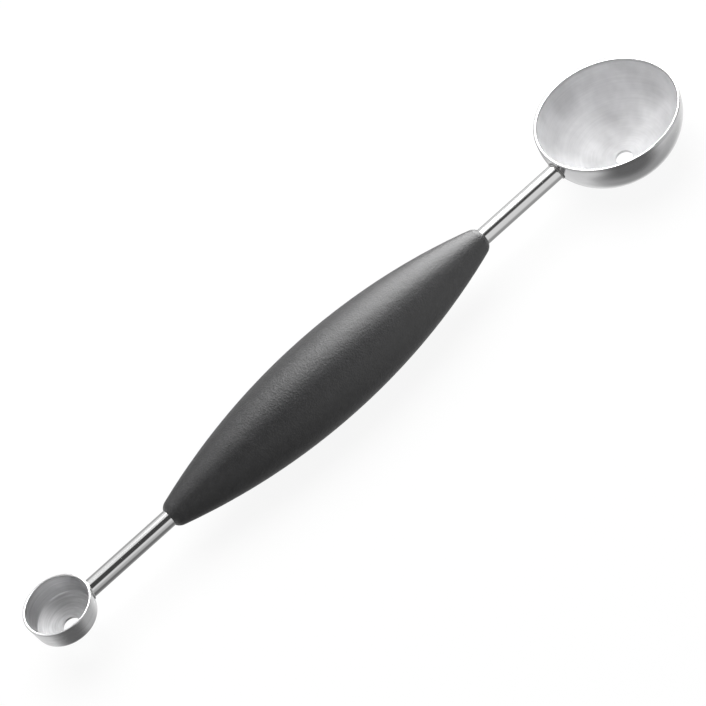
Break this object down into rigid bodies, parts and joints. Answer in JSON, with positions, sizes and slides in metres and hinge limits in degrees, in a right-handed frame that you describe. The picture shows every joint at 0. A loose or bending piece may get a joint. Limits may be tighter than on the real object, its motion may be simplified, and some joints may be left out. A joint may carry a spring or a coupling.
{
  "type": "melon baller",
  "caption": "Hand tool that scoops balls of fruit: a large and a small stainless bowl with drain holes, on rods at the ends of a dark spindle-shaped plastic handle.",
  "frame": {"origin": "on the axis of the rods, halfway along the handle", "axes": "+X along the tool towards the large bowl, +Z the way both bowls open, +Y across the tool"},
  "size_m": [0.1731, 0.0312, 0.0204],
  "materials": {
    "grip_plastic": "charcoal, fine spark-eroded grain",
    "core_plastic": "as moulded, hidden",
    "rod_steel": "polished",
    "bowl_steel": "satin, turned",
    "weld_steel": "welded and brushed"
  },
  "bodies": {
    "root": {"grip_sleeve": "grip_plastic", "handle_core": "core_plastic", "large_rod": "rod_steel", "small_rod": "rod_steel", "large_bowl": "bowl_steel", "small_bowl": "bowl_steel", "large_weld": "weld_steel", "small_weld": "weld_steel"}
  },
  "joints": []
}
